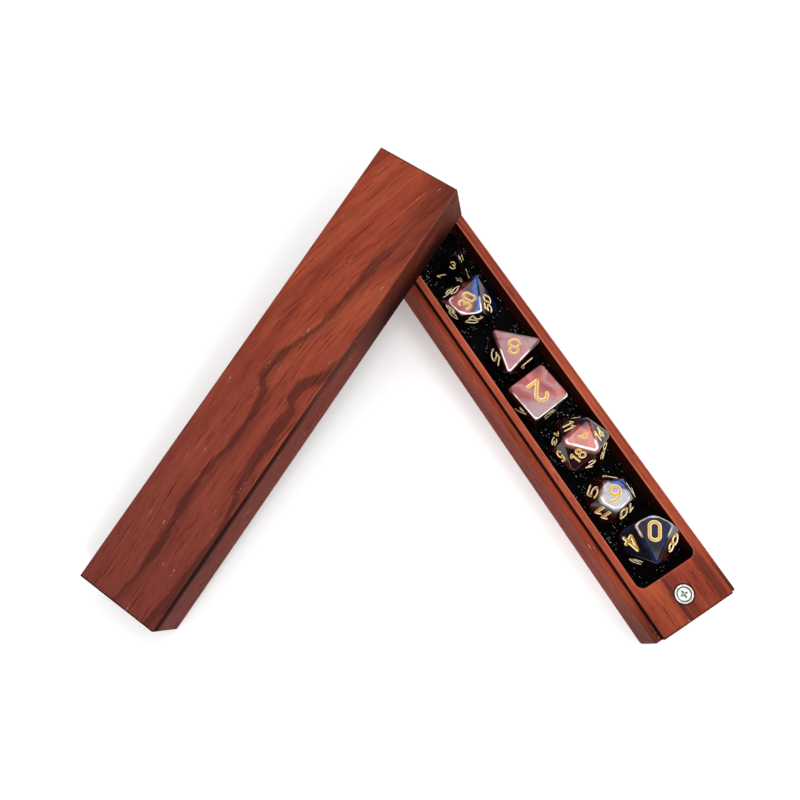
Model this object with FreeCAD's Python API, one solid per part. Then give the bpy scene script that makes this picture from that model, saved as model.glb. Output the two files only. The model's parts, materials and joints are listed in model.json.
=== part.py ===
import FreeCAD, Part
import itertools
import math
import os

# Two-part hardwood box for a set of seven polyhedral dice, in millimetres.
# The tray lies on the table and holds the dice on felt. The loose lid lies
# across the tray's far end, with one corner of its near end on the table.
# Frame: origin at the centre of the tray's base, +X to the tray's far end,
# +Y to the side where the lid comes down to the table, +Z up.

V = FreeCAD.Vector
UP = V(0, 0, 1)
DOWN = V(0, 0, -1)
ALONG = V(1, 0, 0)
GOLDEN = (1 + math.sqrt(5)) / 2

# --- dice: size from one face to the one opposite (a tetrahedron's height) ---
D4_SIZE = 16.5
D6_SIZE = 16.0
D8_SIZE = 15.0
D10_SIZE = 16.0
D12_SIZE = 16.0
D20_SIZE = 19.5
EDGE_ROUND = 0.45      # rounding along every edge of a die
TIP_EASE = 0.7         # what tumbling takes off the tips of a die
D4_TIP_EASE = 1.3      # a tetrahedron's sharp tips lose more
RING_RISE = math.tan(math.radians(18)) ** 2   # ring corner of a ten-sided die, for a pole 1 high

# --- where the dice lie in the pocket, from the near end to the far end ---
# name, room along X after the die before it (or after the pocket's end), share
# of the sideways room used (+1 is against the +Y wall), turn about Z in degrees
D10_PLACE = ("die_d10", 3.1, -1.0, 327.5)
D12_PLACE = ("die_d12", 1.9, 0.43, 26.6)
D20_PLACE = ("die_d20", 2.2, -0.43, 245.2)
D6_PLACE = ("die_d6", 3.1, 0.72, 5.7)
D8_PLACE = ("die_d8", 0.9, -0.14, 270.3)
D10_TENS_PLACE = ("die_d10_tens", 5.9, 1.0, 127.6)
D4_PLACE = ("die_d4", -3.1, -0.52, 207.5)    # one foot reaches under its neighbour
LAST_ROOM = 8.7            # between the four-sided die and the pocket's far end
SIDE_ROOM = 1.2            # between the widest die and each pocket wall, when centred
DIE_WALL_GAP = 0.3         # between any die and a pocket wall

# --- tray ---
END_BLOCK = 18.0           # solid wood between the pocket and each end
RIM_WALL = 2.5             # wood between the pocket and the side of the tongue
SHOULDER_WIDTH = 3.0       # ledge on each long side, which the lid stands on
SHOULDER_HEIGHT = 19.5     # table to ledge
TONGUE_HEIGHT = 4.5        # ledge to the top of the tongue
POCKET_DEPTH = 10.7        # top of the tongue to the wood under the felt
POCKET_CORNER = 3.0        # radius of the cutter that made the pocket
FELT_THICKNESS = 1.2
FELT_EDGE_GAP = 0.15       # felt to pocket wall

# --- lid ---
LID_HEIGHT = 19.5
LID_HEAD_ROOM = 0.6        # highest die to the lid's felt, with the box closed
TONGUE_SIDE_GAP = 0.25     # tongue to channel wall, each side
TONGUE_TOP_GAP = 0.3       # tongue to channel roof

# --- eased edges of the wood ---
OUTER_ROUND = 0.8          # long outer edges and upright corners
SHOULDER_ROUND = 0.5
TONGUE_ROUND = 0.4
POCKET_LIP_ROUND = 0.3
TRAY_HEEL_ROUND = 3.0      # under each end of the tray
LID_HEEL_ROUND = 1.5       # under each end of the lid

# --- magnets and screws ---
MAGNET_DIAMETER = 7.2
MAGNET_THICKNESS = 3.0
MAGNET_BORE = 2.9
MAGNET_SEAT_GAP = 0.2      # ring to the wall of its counterbore
SCREW_HEAD_DIAMETER = 4.9
SCREW_SHANK_DIAMETER = 2.4
SCREW_LENGTH = 11.0        # over all
SCREW_FIT = 0.05           # radial gap in the magnet's sink and in the wood
SCREW_HEAD_INSET = 0.15    # head below the magnet's face
SCREW_POINT = 2.0
CROSS_WIDTH = 0.8          # cross recess in the screw's head
CROSS_SPAN = 2.9
CROSS_DEPTH = 1.1

# --- how the open lid lies on the tray ---
LID_TURN = 66.85           # angle between the tray and the lid
LID_SLIP_X = 1.4           # lid's far magnet past the tray's far magnet
LID_SLIP_Y = -0.2

# --- sizes that follow from the ones above ---
TONGUE_TOP = SHOULDER_HEIGHT + TONGUE_HEIGHT
FELT_TOP = TONGUE_TOP - POCKET_DEPTH + FELT_THICKNESS
CHANNEL_DEPTH = TONGUE_HEIGHT + TONGUE_TOP_GAP


def convex_solid(corners):
    """Solid whose faces are the flat sides of a convex set of corners."""
    middle = sum(corners, V()) * (1 / len(corners))
    sides = set()
    for trio in itertools.combinations(range(len(corners)), 3):
        a, b, c = (corners[i] for i in trio)
        normal = (b - a).cross(c - a)
        if normal.Length < 1e-6:
            continue
        normal.normalize()
        if normal.dot(a - middle) < 0:
            normal = -normal
        if max(normal.dot(p - a) for p in corners) < 1e-6:
            sides.add(tuple(i for i, p in enumerate(corners) if abs(normal.dot(p - a)) < 1e-6))
    faces = []
    for side in sides:
        points = [corners[i] for i in side]
        centre = sum(points, V()) * (1 / len(points))
        u = (points[0] - centre).normalize()
        w = (centre - middle).normalize().cross(u)
        points.sort(key=lambda p: math.atan2((p - centre).dot(w), (p - centre).dot(u)))
        faces.append(Part.Face(Part.makePolygon(points + points[:1])))
    return Part.Solid(Part.Shell(faces))


def die(corners, bottom, size, tip_ease=TIP_EASE):
    """Die lying on the face that bottom points to, with its middle over the origin."""
    turn = FreeCAD.Rotation(bottom, DOWN)
    corners = [turn.multVec(p) for p in corners]
    low = min(p.z for p in corners)
    high = max(p.z for p in corners)
    scale = size / (high - low)
    corners = [p * scale for p in corners]
    reach = corners[0].Length
    for p in corners:
        reach = max(reach, p.Length)
    solid = convex_solid(corners)
    solid = solid.makeFillet(EDGE_ROUND, solid.Edges)
    solid = solid.common(Part.makeSphere(reach - tip_ease))
    solid.translate(V(0, 0, -low * scale))
    return solid


def d4():
    corners = [V(1, 1, 1), V(1, -1, -1), V(-1, 1, -1), V(-1, -1, 1)]
    return die(corners, V(-1, -1, -1), D4_SIZE, D4_TIP_EASE)


def d6():
    corners = [V(*p) for p in itertools.product((-1, 1), repeat=3)]
    return die(corners, DOWN, D6_SIZE)


def d8():
    corners = [axis * sign for axis in (V(1, 0, 0), V(0, 1, 0), V(0, 0, 1)) for sign in (1, -1)]
    return die(corners, V(1, 1, 1), D8_SIZE)


def d10():
    ring = [V(math.cos(k * math.pi / 5), math.sin(k * math.pi / 5), RING_RISE if k % 2 else -RING_RISE)
            for k in range(10)]
    return die([V(0, 0, 1), V(0, 0, -1)] + ring, V(1 + RING_RISE, 0, 1), D10_SIZE)


def d12():
    corners = [V(*p) for p in itertools.product((-1, 1), repeat=3)]
    for a, b in itertools.product((-1, 1), repeat=2):
        short, long = a / GOLDEN, b * GOLDEN
        corners += [V(0, short, long), V(short, long, 0), V(long, 0, short)]
    return die(corners, V(0, GOLDEN, 1), D12_SIZE)


def d20():
    corners = []
    for a, b in itertools.product((-1, 1), repeat=2):
        long = b * GOLDEN
        corners += [V(0, a, long), V(a, long, 0), V(long, 0, a)]
    return die(corners, V(-1, -1, -1), D20_SIZE)


def turned(shape, degrees):
    shape = shape.copy()
    shape.rotate(V(), UP, degrees)
    return shape


# The dice are laid in a row, and the box is made round them.
ROW = [(D10_PLACE, d10()), (D12_PLACE, d12()), (D20_PLACE, d20()), (D6_PLACE, d6()),
       (D8_PLACE, d8()), (D10_TENS_PLACE, d10()), (D4_PLACE, d4())]
ROW = [(name, gap, share, turned(shape, turn)) for (name, gap, share, turn), shape in ROW]
WIDEST_DIE = max(shape.BoundBox.YLength for _, _, _, shape in ROW)
TALLEST_DIE = max(shape.BoundBox.ZMax for _, _, _, shape in ROW)
POCKET_LENGTH = sum(gap + shape.BoundBox.XLength for _, gap, _, shape in ROW) + LAST_ROOM
POCKET_WIDTH = WIDEST_DIE + 2 * SIDE_ROOM
TONGUE_WIDTH = POCKET_WIDTH + 2 * RIM_WALL
BOX_LENGTH = POCKET_LENGTH + 2 * END_BLOCK
BOX_WIDTH = TONGUE_WIDTH + 2 * SHOULDER_WIDTH
MAGNET_X = (BOX_LENGTH - END_BLOCK) / 2       # in the middle of each end block
CAVITY_ROOF = FELT_TOP + TALLEST_DIE + LID_HEAD_ROOM + FELT_THICKNESS - SHOULDER_HEIGHT


def rounded_outline(corners):
    """Closed wire through (point, radius) corners, each rounded with an arc."""
    edges = []
    ends = []
    count = len(corners)
    for i, (point, radius) in enumerate(corners):
        to_last = (corners[i - 1][0] - point).normalize()
        to_next = (corners[(i + 1) % count][0] - point).normalize()
        if not radius:
            ends.append((point, point, None))
            continue
        half = to_last.getAngle(to_next) / 2
        setback = radius / math.tan(half)
        middle = point + (to_last + to_next).normalize() * (radius / math.sin(half) - radius)
        ends.append((point + to_last * setback, point + to_next * setback, middle))
    for i, (start, stop, middle) in enumerate(ends):
        if middle:
            edges.append(Part.Arc(start, middle, stop).toShape())
        edges.append(Part.LineSegment(stop, ends[(i + 1) % count][0]).toShape())
    return Part.Wire(edges)


def slab(corners, along):
    """Rounded outline filled and pushed along a vector."""
    return Part.Face(rounded_outline(corners)).extrude(along)


def plan_slab(length, width, radius, low, high):
    """Upright slab with a rounded rectangle for its plan, centred on Z."""
    x, y = length / 2, width / 2
    corners = [(V(-x, -y, low), radius), (V(x, -y, low), radius), (V(x, y, low), radius), (V(-x, y, low), radius)]
    return slab(corners, UP * (high - low))


def side_slab(bottom_round, top_round, height):
    """Slab with the block's side view for its outline, wider than the block."""
    x, y = BOX_LENGTH / 2, BOX_WIDTH
    corners = [(V(-x, -y, 0), bottom_round), (V(x, -y, 0), bottom_round),
               (V(x, -y, height), top_round), (V(-x, -y, height), top_round)]
    return slab(corners, V(0, 2 * y, 0))


def round_lip(shape, height, length, width, radius):
    """Round the edges of a pocket's mouth, which lie at one height within a plan."""
    def on_lip(edge):
        box = edge.BoundBox
        level = abs(box.ZMin - height) < 1e-4 and abs(box.ZMax - height) < 1e-4
        reach_x = max(abs(box.XMin), abs(box.XMax))
        reach_y = max(abs(box.YMin), abs(box.YMax))
        return level and reach_x < length / 2 + 1e-3 and reach_y < width / 2 + 1e-3 and box.DiagonalLength > 1
    return shape.makeFillet(radius, [edge for edge in shape.Edges if on_lip(edge)])


def seat_tool(depth_of_wood):
    """Counterbore and screw hole cut for a magnet whose face is at z = 0, facing up."""
    seat = Part.makeCylinder(MAGNET_DIAMETER / 2 + MAGNET_SEAT_GAP, MAGNET_THICKNESS, V(), DOWN)
    hole_depth = min(SCREW_LENGTH + SCREW_HEAD_INSET + SCREW_FIT, depth_of_wood - 1)
    hole = Part.makeCylinder(SCREW_SHANK_DIAMETER / 2 + SCREW_FIT, hole_depth, V(), DOWN)
    return seat.fuse(hole)


def facing_down(shape):
    shape = shape.copy()
    shape.rotate(V(), ALONG, 180)
    return shape


def moved(shape, x, z):
    shape = shape.copy()
    shape.translate(V(x, 0, z))
    return shape


def tray_block():
    y, tongue_y = BOX_WIDTH / 2, TONGUE_WIDTH / 2
    half = [(V(-BOX_LENGTH / 2, y, 0), OUTER_ROUND),
            (V(-BOX_LENGTH / 2, y, SHOULDER_HEIGHT), SHOULDER_ROUND),
            (V(-BOX_LENGTH / 2, tongue_y, SHOULDER_HEIGHT), 0),
            (V(-BOX_LENGTH / 2, tongue_y, TONGUE_TOP), TONGUE_ROUND)]
    other = [(V(point.x, -point.y, point.z), radius) for point, radius in reversed(half)]
    block = slab(half + other, ALONG * BOX_LENGTH)
    block = block.common(side_slab(TRAY_HEEL_ROUND, TONGUE_ROUND, TONGUE_TOP))
    block = block.common(plan_slab(BOX_LENGTH, BOX_WIDTH, OUTER_ROUND, 0, TONGUE_TOP))
    block = block.cut(plan_slab(POCKET_LENGTH, POCKET_WIDTH, POCKET_CORNER,
                                TONGUE_TOP - POCKET_DEPTH, TONGUE_TOP + 1))
    block = round_lip(block, TONGUE_TOP, POCKET_LENGTH, POCKET_WIDTH, POCKET_LIP_ROUND)
    for x in (-MAGNET_X, MAGNET_X):
        block = block.cut(moved(seat_tool(TONGUE_TOP), x, TONGUE_TOP))
    return block


def lid_block():
    """Lid as it stands on the table, its far end at -X."""
    y, channel_y = BOX_WIDTH / 2, TONGUE_WIDTH / 2 + TONGUE_SIDE_GAP
    half = [(V(-BOX_LENGTH / 2, y, LID_HEIGHT), OUTER_ROUND),
            (V(-BOX_LENGTH / 2, y, 0), SHOULDER_ROUND),
            (V(-BOX_LENGTH / 2, channel_y, 0), TONGUE_ROUND),
            (V(-BOX_LENGTH / 2, channel_y, CHANNEL_DEPTH), 0)]
    other = [(V(point.x, -point.y, point.z), radius) for point, radius in reversed(half)]
    block = slab(half + other, ALONG * BOX_LENGTH)
    block = block.common(side_slab(LID_HEEL_ROUND, OUTER_ROUND, LID_HEIGHT))
    block = block.common(plan_slab(BOX_LENGTH, BOX_WIDTH, OUTER_ROUND, 0, LID_HEIGHT))
    block = block.cut(plan_slab(POCKET_LENGTH, POCKET_WIDTH, POCKET_CORNER, CHANNEL_DEPTH - 1, CAVITY_ROOF))
    block = round_lip(block, CHANNEL_DEPTH, POCKET_LENGTH, POCKET_WIDTH, POCKET_LIP_ROUND)
    seat = facing_down(seat_tool(LID_HEIGHT - CHANNEL_DEPTH))
    for x in (-MAGNET_X, MAGNET_X):
        block = block.cut(moved(seat, x, CHANNEL_DEPTH))
    return block


def felt(low):
    """Felt lining cut to the pocket's plan, its lower side at the height given."""
    return plan_slab(POCKET_LENGTH - 2 * FELT_EDGE_GAP, POCKET_WIDTH - 2 * FELT_EDGE_GAP,
                     POCKET_CORNER - FELT_EDGE_GAP, low, low + FELT_THICKNESS)


def magnet():
    """Countersunk ring magnet, its face at z = 0 and its body below."""
    ring = Part.makeCylinder(MAGNET_DIAMETER / 2, MAGNET_THICKNESS, V(), DOWN)
    bore = Part.makeCylinder(MAGNET_BORE / 2, MAGNET_THICKNESS, V(), DOWN)
    sink_radius = SCREW_HEAD_DIAMETER / 2 + SCREW_FIT + SCREW_HEAD_INSET
    sink = Part.makeCone(sink_radius, MAGNET_BORE / 2, sink_radius - MAGNET_BORE / 2, V(), DOWN)
    ring = ring.cut(bore.fuse(sink))
    rims = [edge for edge in ring.Edges if abs(edge.Length - math.pi * MAGNET_DIAMETER) < 1e-3]
    return ring.makeFillet(SCREW_HEAD_INSET, rims)


def screw():
    """Countersunk cross-head screw, its head just below z = 0."""
    head_radius, shank_radius = SCREW_HEAD_DIAMETER / 2, SCREW_SHANK_DIAMETER / 2
    top = -SCREW_HEAD_INSET
    neck = top - (head_radius - shank_radius)
    tip = top - SCREW_LENGTH
    outline = [V(0, 0, top), V(head_radius, 0, top), V(shank_radius, 0, neck),
               V(shank_radius, 0, tip + SCREW_POINT), V(0, 0, tip), V(0, 0, top)]
    body = Part.Face(Part.makePolygon(outline)).revolve(V(), UP, 360)
    for span_x, span_y in ((CROSS_SPAN, CROSS_WIDTH), (CROSS_WIDTH, CROSS_SPAN)):
        slot = Part.makeBox(span_x, span_y, CROSS_DEPTH, V(-span_x / 2, -span_y / 2, top - CROSS_DEPTH))
        body = body.cut(slot)
    return body


def on_open_tray(shape):
    """Move a piece of the lid from its standing place to where the open lid lies."""
    heading = 180 - LID_TURN
    turn = FreeCAD.Rotation(UP, heading)
    far_magnet = V(MAGNET_X + LID_SLIP_X, LID_SLIP_Y, TONGUE_TOP)
    level = FreeCAD.Placement(far_magnet - turn.multVec(V(-MAGNET_X, 0, 0)), turn)
    table_corner = level.multVec(V(BOX_LENGTH / 2, -BOX_WIDTH / 2, 0))
    lean = math.degrees(math.asin(TONGUE_TOP / (table_corner.y - TONGUE_WIDTH / 2)))
    pivot = V(0, TONGUE_WIDTH / 2, TONGUE_TOP)
    tip = FreeCAD.Placement(V(), FreeCAD.Rotation(ALONG, -lean), pivot)
    shape = shape.copy()
    shape.Placement = tip.multiply(level).multiply(shape.Placement)
    return shape


def laid_dice():
    """Each die at its place in the row, standing on the felt."""
    pieces = {}
    reach = -POCKET_LENGTH / 2
    for name, gap, share, shape in ROW:
        box = shape.BoundBox
        room = (POCKET_WIDTH - box.YLength) / 2 - DIE_WALL_GAP
        shape.translate(V(reach + gap - box.XMin, share * room - box.Center.y, FELT_TOP))
        reach += gap + box.XLength
        pieces[name] = shape
    return pieces


def pieces():
    parts = {"tray_block": tray_block(), "tray_felt": felt(TONGUE_TOP - POCKET_DEPTH)}
    lid_parts = {"lid_block": lid_block(), "lid_felt": felt(CAVITY_ROOF - FELT_THICKNESS)}
    for end, tray_x in (("near", -MAGNET_X), ("far", MAGNET_X)):
        for kind, shape in (("magnet", magnet()), ("screw", screw())):
            parts["tray_{}_{}".format(end, kind)] = moved(shape, tray_x, TONGUE_TOP)
            lid_parts["lid_{}_{}".format(end, kind)] = moved(facing_down(shape), -tray_x, CHANNEL_DEPTH)
    for name, shape in lid_parts.items():
        parts[name] = on_open_tray(shape)
    parts.update(laid_dice())
    return parts


os.makedirs("parts", exist_ok=True)
for name, shape in pieces().items():
    shape.exportStep("parts/{}.step".format(name))
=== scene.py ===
import itertools
import json
import math

import bmesh
import bpy
from mathutils import Matrix, Vector

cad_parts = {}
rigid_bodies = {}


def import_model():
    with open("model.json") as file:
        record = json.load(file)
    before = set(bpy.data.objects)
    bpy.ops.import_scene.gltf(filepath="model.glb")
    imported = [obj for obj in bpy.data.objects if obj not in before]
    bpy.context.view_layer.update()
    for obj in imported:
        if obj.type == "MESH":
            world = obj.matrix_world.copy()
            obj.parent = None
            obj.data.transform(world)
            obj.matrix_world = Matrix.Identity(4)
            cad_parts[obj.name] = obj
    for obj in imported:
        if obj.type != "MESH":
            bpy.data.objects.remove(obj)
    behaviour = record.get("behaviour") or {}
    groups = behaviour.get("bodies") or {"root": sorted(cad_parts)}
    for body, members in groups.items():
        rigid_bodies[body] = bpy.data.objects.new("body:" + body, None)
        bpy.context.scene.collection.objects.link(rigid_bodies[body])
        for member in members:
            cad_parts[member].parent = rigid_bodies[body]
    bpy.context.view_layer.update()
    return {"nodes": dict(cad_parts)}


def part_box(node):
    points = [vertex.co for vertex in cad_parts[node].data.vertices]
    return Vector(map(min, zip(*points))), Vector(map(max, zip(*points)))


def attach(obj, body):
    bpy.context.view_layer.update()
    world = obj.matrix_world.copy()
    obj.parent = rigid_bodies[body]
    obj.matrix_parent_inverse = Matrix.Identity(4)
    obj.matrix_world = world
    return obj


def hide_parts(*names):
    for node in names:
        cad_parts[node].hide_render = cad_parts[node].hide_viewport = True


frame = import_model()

# Two-part hardwood box, open, with its seven dice. Sizes are in millimetres and
# angles in degrees, unless a line says otherwise. The tray's near end is at
# -X, and the lid lies across its far end. The lid's own axes are those of a lid
# that stands level: its top is up, and its far end, over the tray, is at its -X.

MM = 0.001
UP = Vector((0, 0, 1))
GOLDEN = (1 + math.sqrt(5)) / 2


def low_and_size(node):
    """Lowest corner and size of a node's box at rest, in millimetres."""
    low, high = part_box(node)
    return low / MM, (high - low) / MM


# Sizes that the frame gives.
tray_size = low_and_size("tray_block")[1]
felt_low, felt_size = low_and_size("tray_felt")
magnet_low, magnet_size = low_and_size("tray_far_magnet")
FELT_EDGE_GAP = 0.15
BOX_LENGTH, BOX_WIDTH, TONGUE_TOP = tray_size
FELT_THICKNESS = felt_size.z
FELT_TOP = felt_low.z + FELT_THICKNESS
POCKET_LENGTH = felt_size.x + 2 * FELT_EDGE_GAP
POCKET_WIDTH = felt_size.y + 2 * FELT_EDGE_GAP
MAGNET_X = magnet_low.x + magnet_size.x / 2
MAGNET_RADIUS = magnet_size.x / 2

# Sizes that repeat the solids' own.
RIM_WALL = 2.5
TONGUE_WIDTH = POCKET_WIDTH + 2 * RIM_WALL
POCKET_CORNER = 3.0
MAGNET_SEAT_GAP = 0.2
MAGNET_SEAT = MAGNET_RADIUS + MAGNET_SEAT_GAP
LID_HEIGHT = 19.5
CAVITY_ROOF = 16.3
LID_TURN = 66.85
LID_SLIP = Vector((1.4, -0.2, 0))

# Tumbled edge of a die, a little softer than the solid's.
EDGE_ROUND = 0.6


# ---------------------------------------------------------------- nodes

def tone(code):
    """Linear colour from a screen colour such as "8a3d2d"."""
    channels = [int(code[i:i + 2], 16) / 255 for i in (0, 2, 4)]
    linear = [c / 12.92 if c <= 0.04045 else ((c + 0.055) / 1.055) ** 2.4 for c in channels]
    return linear + [1.0]


class Maker:
    """Adds nodes to one tree.

    An input is another node's socket, a number, a vector or a screen colour.
    """

    def __init__(self, tree):
        self.tree = tree

    def give(self, node, inputs):
        """Links what is a socket, and sets a number, a vector or a screen colour."""
        for key, value in inputs.items():
            if isinstance(value, bpy.types.NodeSocket):
                self.tree.links.new(value, node.inputs[key])
            else:
                node.inputs[key].default_value = tone(value) if isinstance(value, str) else value

    def add(self, kind, inputs=None, out=0, **settings):
        node = self.tree.nodes.new(kind)
        for key, value in settings.items():
            setattr(node, key, value)
        self.give(node, inputs or {})
        return node.outputs[out]

    def use(self, tree, inputs):
        """Places a node group and gives its outputs."""
        return self.add("ShaderNodeGroup", inputs, node_tree=tree).node.outputs

    def math(self, operation, a, b=0.0):
        return self.add("ShaderNodeMath", {0: a, 1: b}, operation=operation)

    def plus(self, first, *others):
        for other in others:
            first = self.math("ADD", first, other)
        return first

    def minus(self, a, b):
        return self.math("SUBTRACT", a, b)

    def times(self, first, *others):
        for other in others:
            first = self.math("MULTIPLY", first, other)
        return first

    def most(self, first, *others):
        """The greatest of several values."""
        for other in others:
            first = self.math("MAXIMUM", first, other)
        return first

    def absolute(self, value):
        return self.math("ABSOLUTE", value)

    def distance(self, x, y):
        """Straight distance from the origin to a place x across and y along."""
        return self.math("SQRT", self.plus(self.times(x, x), self.times(y, y)))

    def fade(self, value, low, high, start=0.0, stop=1.0):
        """Smooth change from start to stop while value goes from low to high."""
        return self.add("ShaderNodeMapRange", {0: value, 1: low, 2: high, 3: start, 4: stop},
                        interpolation_type="SMOOTHSTEP")

    def hump(self, value, middle, half_width, soft):
        """1 where value is within half_width of middle, fading over soft."""
        away = self.absolute(self.minus(value, middle))
        return self.fade(away, half_width, half_width + soft, 1.0, 0.0)

    def mix(self, share, a, b):
        return self.add("ShaderNodeMix", {0: share, 6: a, 7: b}, out=2, data_type="RGBA")

    def cover(self, base, layers):
        """Lays colours over a base in turn, each as thick as its share says."""
        for share, colour in layers:
            base = self.mix(share, base, colour)
        return base

    def vectors(self, operation, inputs):
        return self.add("ShaderNodeVectorMath", inputs, operation=operation)

    def stretch(self, place, scale, shift=(0, 0, 0)):
        return self.add("ShaderNodeMapping", {"Vector": place, "Scale": scale, "Location": shift})

    def split(self, vector):
        return self.add("ShaderNodeSeparateXYZ", {0: vector}).node.outputs

    def join(self, x, y, z):
        return self.add("ShaderNodeCombineXYZ", {0: x, 1: y, 2: z})

    def noise(self, place, scale=1.0, detail=3.0, rough=0.5, bend=0.0, out=0):
        """Cloudy values from 0 to 1, or with out=1 cloudy vectors."""
        return self.add("ShaderNodeTexNoise", {"Vector": place, "Scale": scale, "Detail": detail,
                                               "Roughness": rough, "Distortion": bend}, out)

    def ramp(self, value, stops):
        """Colours that follow one another as value goes from 0 to 1."""
        node = self.add("ShaderNodeValToRGB", {0: value}).node
        while len(node.color_ramp.elements) < len(stops):
            node.color_ramp.elements.new(0.5)
        for element, (place, colour) in zip(node.color_ramp.elements, stops):
            element.position = place
            element.color = tone(colour)
        return node.outputs[0]

    def curve(self, value, points):
        """Smooth curve through given points, whose x and y lie between 0 and 1."""
        node = self.add("ShaderNodeFloatCurve", {"Value": value}).node
        line = node.mapping.curves[0]
        while len(line.points) < len(points):
            line.points.new(0.5, 0.5)
        for point, place in zip(line.points, points):
            point.location = place
        node.mapping.update()
        return node.outputs[0]

    def bump(self, height, strength, distance):
        """Normal of a surface whose relief is distance high."""
        return self.add("ShaderNodeBump", {"Height": height, "Strength": strength,
                                           "Distance": distance * MM})


def group(name, inputs, outputs):
    """New node group: its maker, what it is given and the node that takes its results.

    Inputs and outputs are written as label: kind, where the kind is Float, Vector or Color.
    """
    tree = bpy.data.node_groups.new(name, "ShaderNodeTree")
    for way, sockets in (("INPUT", inputs), ("OUTPUT", outputs)):
        for label, kind in sockets.items():
            tree.interface.new_socket(label, in_out=way, socket_type="NodeSocket" + kind)
    start = tree.nodes.new("NodeGroupInput")
    stop = tree.nodes.new("NodeGroupOutput")
    return Maker(tree), start.outputs, stop


def floats(*labels):
    """Sockets that hold a number."""
    return dict.fromkeys(labels, "Float")


def new_material(name):
    material = bpy.data.materials.new(name)
    material.use_nodes = True
    return material, Maker(material.node_tree), material.node_tree.nodes["Principled BSDF"]


def piece_place(m, standing=None):
    """Place in millimetres on the piece as it stands upright, whichever way it now lies."""
    place = m.add("ShaderNodeTexCoord", out=3)
    if standing is not None:
        back = standing.inverted()
        place = m.add("ShaderNodeMapping", {"Vector": place, "Location": back.translation,
                                            "Rotation": back.to_euler("XYZ")})
    return m.stretch(place, (1 / MM, 1 / MM, 1 / MM))


def magnet_distance(m, x, y):
    """How far a place is from the nearer magnet's middle, along X and straight."""
    across = m.minus(m.absolute(x), MAGNET_X)
    return across, m.distance(across, y)


# ---------------------------------------------------------------- wood

# Red hardwood in screen colours, from its ground to what lies on it.
GROUND = [(0.30, "7b2f21"), (0.47, "903e2a"), (0.60, "a04a30"), (0.72, "ae5536")]
DUSKY_BOARD = "6e352e"
GROWTH_BAND = "6a2c22"
DARK_FIBRE = "5a231a"
PALE_FIBRE = "b87058"
# Dark heartwood, also laid as painted shade on shaded sides.
DARK_WOOD_AND_SHADE = "3b1c1a"
OPEN_PORE = "37100c"
PORE_FILLER = "e9c0ae"
# Painted highlight along arrises.
PAINTED_ARRIS_HIGHLIGHT = "d08068"
UNLIT = "150506"

GRAIN_DRIFT = 3.2        # how far the grain wavers, from one side to the other
TRAY_BOARD = 400.0       # the tray's wood comes from this much further along the timber
END_GRAIN_STARTS = 0.9   # from a block's end, where its open grain starts to darken the wood
END_GRAIN_FULL = 0.5     # from a block's end, where it is darkest


def wood_group():
    """Red hardwood: its colour, the height of its grain and its roughness.

    Grain is the place in millimetres with x along the grain. Dark Wood And Shade is 1
    in dark heartwood and in painted shade on shaded sides, Arris Highlight 1 where an
    arris has a painted highlight, Dusk 1 where the whole board is darker and Deep 1 in
    corners that light hardly reaches. Bright scales the colour.
    """
    m, given, result = group(
        "red hardwood", {"Grain": "Vector", **floats("Dark Wood And Shade", "Arris Highlight", "Dusk", "Deep", "Bright")},
        {"Color": "Color", **floats("Height", "Roughness")})
    place = given["Grain"]
    fibres = m.noise(m.stretch(place, (0.05, 3.4, 3.4), (2, 9, 4)), detail=4.0, rough=0.7, bend=0.2)
    pores = open_pores(m, place)
    base = m.cover(wood_ground(m, place, fibres, given["Dusk"]), [
        # Dark heartwood and painted shade, and further down a painted highlight on arrises.
        (m.times(given["Dark Wood And Shade"], m.fade(fibres, 0.15, 0.75, 1.0, 0.72)), DARK_WOOD_AND_SHADE),
        (m.times(pores, 0.75), OPEN_PORE),
        (filled_pores(m, place), PORE_FILLER),
        (given["Arris Highlight"], PAINTED_ARRIS_HIGHLIGHT)])
    base = m.vectors("SCALE", {0: base, "Scale": given["Bright"]})
    rough = m.fade(m.plus(fibres, pores), 0.3, 1.2, 0.52, 0.75)
    m.give(result, {"Color": m.mix(given["Deep"], base, UNLIT),
                    "Height": m.minus(m.times(fibres, 0.35), m.times(pores, 0.8)),
                    "Roughness": m.most(rough, given["Deep"])})
    return m.tree


def wood_ground(m, place, fibres, dusk):
    """Clouded red wood with its growth bands and fibres."""
    clouds = m.noise(m.stretch(place, (0.012, 0.07, 0.07)), rough=0.55, bend=0.6)
    bands = m.noise(m.stretch(place, (0.006, 0.42, 0.42), (7, 3, 1)), detail=4.0, rough=0.6, bend=0.3)
    return m.cover(m.ramp(clouds, GROUND), [
        (dusk, DUSKY_BOARD),
        (m.fade(bands, 0.40, 0.70, 0.0, 0.45), GROWTH_BAND),
        (m.fade(fibres, 0.30, 0.75, 0.26, 0.0), DARK_FIBRE),
        (m.fade(fibres, 0.55, 0.85, 0.0, 0.30), PALE_FIBRE)])


def dashes(m, place, scale, shift, low, high):
    """Short dashes along the grain."""
    return m.fade(m.noise(m.stretch(place, scale, shift), detail=1.5), low, high)


def open_pores(m, place):
    """Coarse dark pores, with finer and fainter ones between them."""
    coarse = dashes(m, place, (0.085, 2.7, 2.7), (0, 0, 0), 0.635, 0.685)
    fine = dashes(m, place, (0.22, 5.0, 5.0), (31, 17, 5), 0.64, 0.70)
    return m.most(coarse, m.times(fine, 0.55))


def filled_pores(m, place):
    """A few pores with pale filler left in them, in beads."""
    filled = dashes(m, place, (0.055, 3.2, 3.2), (53, 71, 13), 0.745, 0.77)
    beads = m.fade(m.noise(m.stretch(place, (0.9, 1.6, 1.6)), detail=1.0), 0.44, 0.60)
    return m.times(filled, beads)


def drift(m, value):
    """How far the grain wavers to one side or the other, from a noise."""
    return m.times(m.minus(value, 0.5), GRAIN_DRIFT)


def share_along(m, x):
    """Share of a block's length, from 0 at its -X end to 1."""
    return m.math("DIVIDE", m.plus(x, BOX_LENGTH / 2), BOX_LENGTH)


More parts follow.
